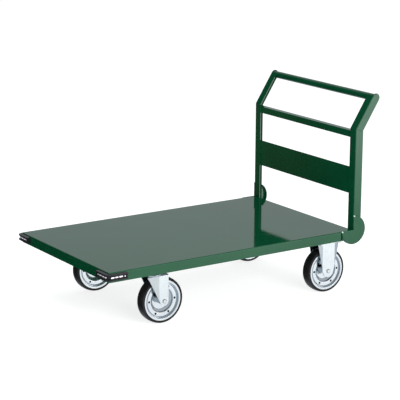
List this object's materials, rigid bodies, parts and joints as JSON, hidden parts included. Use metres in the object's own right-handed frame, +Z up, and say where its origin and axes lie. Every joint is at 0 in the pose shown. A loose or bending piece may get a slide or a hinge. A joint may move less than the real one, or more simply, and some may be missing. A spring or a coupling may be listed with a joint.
{
  "type": "platform hand trolley",
  "caption": "Flatbed steel platform trolley with a fixed push handle at one end, corner guards at the other, swivel casters in front and rigid casters behind.",
  "frame": {"origin": "on the floor, under the centre of the overall bounding box", "axes": "+X along the deck towards the push handle (the rear), +Y across the deck to the pushing person's right, +Z up"},
  "size_m": [1.3936, 0.782, 0.8857],
  "materials": {
    "green_paint": "glossy enamel",
    "zinc": "bright zinc plating, satin",
    "tyre_rubber": "matt solid rubber",
    "guard_rubber": "semi-gloss rubber",
    "steel": "ground bearing steel"
  },
  "bodies": {
    "chassis": {"deck_tray": "green_paint", "bearer_front": "green_paint", "bearer_rear": "green_paint", "stiffener_left": "green_paint", "stiffener_right": "green_paint", "post_left": "green_paint", "post_right": "green_paint", "top_rail": "green_paint", "middle_rail": "green_paint", "panel": "green_paint", "cap_left": "green_paint", "cap_right": "green_paint", "bumper_left": "guard_rubber", "bumper_right": "guard_rubber", "bumper_screws": "zinc", "swivel_plate_left": "zinc", "swivel_plate_right": "zinc", "kingpin_left": "zinc", "kingpin_right": "zinc", "rigid_plate_left": "zinc", "rigid_plate_right": "zinc", "rigid_fork_left": "zinc", "rigid_fork_right": "zinc", "rigid_axles": "zinc", "rigid_axle_nuts": "zinc", "caster_bolts": "zinc", "caster_washers": "zinc", "caster_nuts": "zinc"},
    "swivel_left": {"swivel_fork_left": "zinc", "swivel_race_left": "steel", "swivel_balls_left": "steel", "swivel_axle_left": "zinc", "swivel_axle_nut_left": "zinc"},
    "wheel_front_left": {"tyre_front_left": "tyre_rubber", "disc_outer_front_left": "zinc", "disc_inner_front_left": "zinc", "hub_front_left": "zinc", "bearings_front_left": "steel"},
    "wheel_rear_left": {"tyre_rear_left": "tyre_rubber", "disc_outer_rear_left": "zinc", "disc_inner_rear_left": "zinc", "hub_rear_left": "zinc", "bearings_rear_left": "steel"},
    "swivel_right": {"swivel_fork_right": "zinc", "swivel_race_right": "steel", "swivel_balls_right": "steel", "swivel_axle_right": "zinc", "swivel_axle_nut_right": "zinc"},
    "wheel_front_right": {"tyre_front_right": "tyre_rubber", "disc_outer_front_right": "zinc", "disc_inner_front_right": "zinc", "hub_front_right": "zinc", "bearings_front_right": "steel"},
    "wheel_rear_right": {"tyre_rear_right": "tyre_rubber", "disc_outer_rear_right": "zinc", "disc_inner_rear_right": "zinc", "hub_rear_right": "zinc", "bearings_rear_right": "steel"}
  },
  "joints": [
    {"name": "swivel_turn_left", "type": "hinge", "parent": "chassis", "child": "swivel_left", "pos_m": [-0.41575, -0.272, 0.21], "axis": [0, 0, 1], "continuous": true},
    {"name": "wheel_spin_front_left", "type": "hinge", "parent": "swivel_left", "child": "wheel_front_left", "pos_m": [-0.37576, -0.272, 0.1], "axis": [0, 1, 0], "continuous": true},
    {"name": "wheel_spin_rear_left", "type": "hinge", "parent": "chassis", "child": "wheel_rear_left", "pos_m": [0.47325, -0.29, 0.1], "axis": [0, 1, 0], "continuous": true},
    {"name": "swivel_turn_right", "type": "hinge", "parent": "chassis", "child": "swivel_right", "pos_m": [-0.41575, 0.272, 0.21], "axis": [0, 0, 1], "continuous": true},
    {"name": "wheel_spin_front_right", "type": "hinge", "parent": "swivel_right", "child": "wheel_front_right", "pos_m": [-0.37576, 0.272, 0.1], "axis": [0, 1, 0], "continuous": true},
    {"name": "wheel_spin_rear_right", "type": "hinge", "parent": "chassis", "child": "wheel_rear_right", "pos_m": [0.47325, 0.29, 0.1], "axis": [0, 1, 0], "continuous": true}
  ]
}
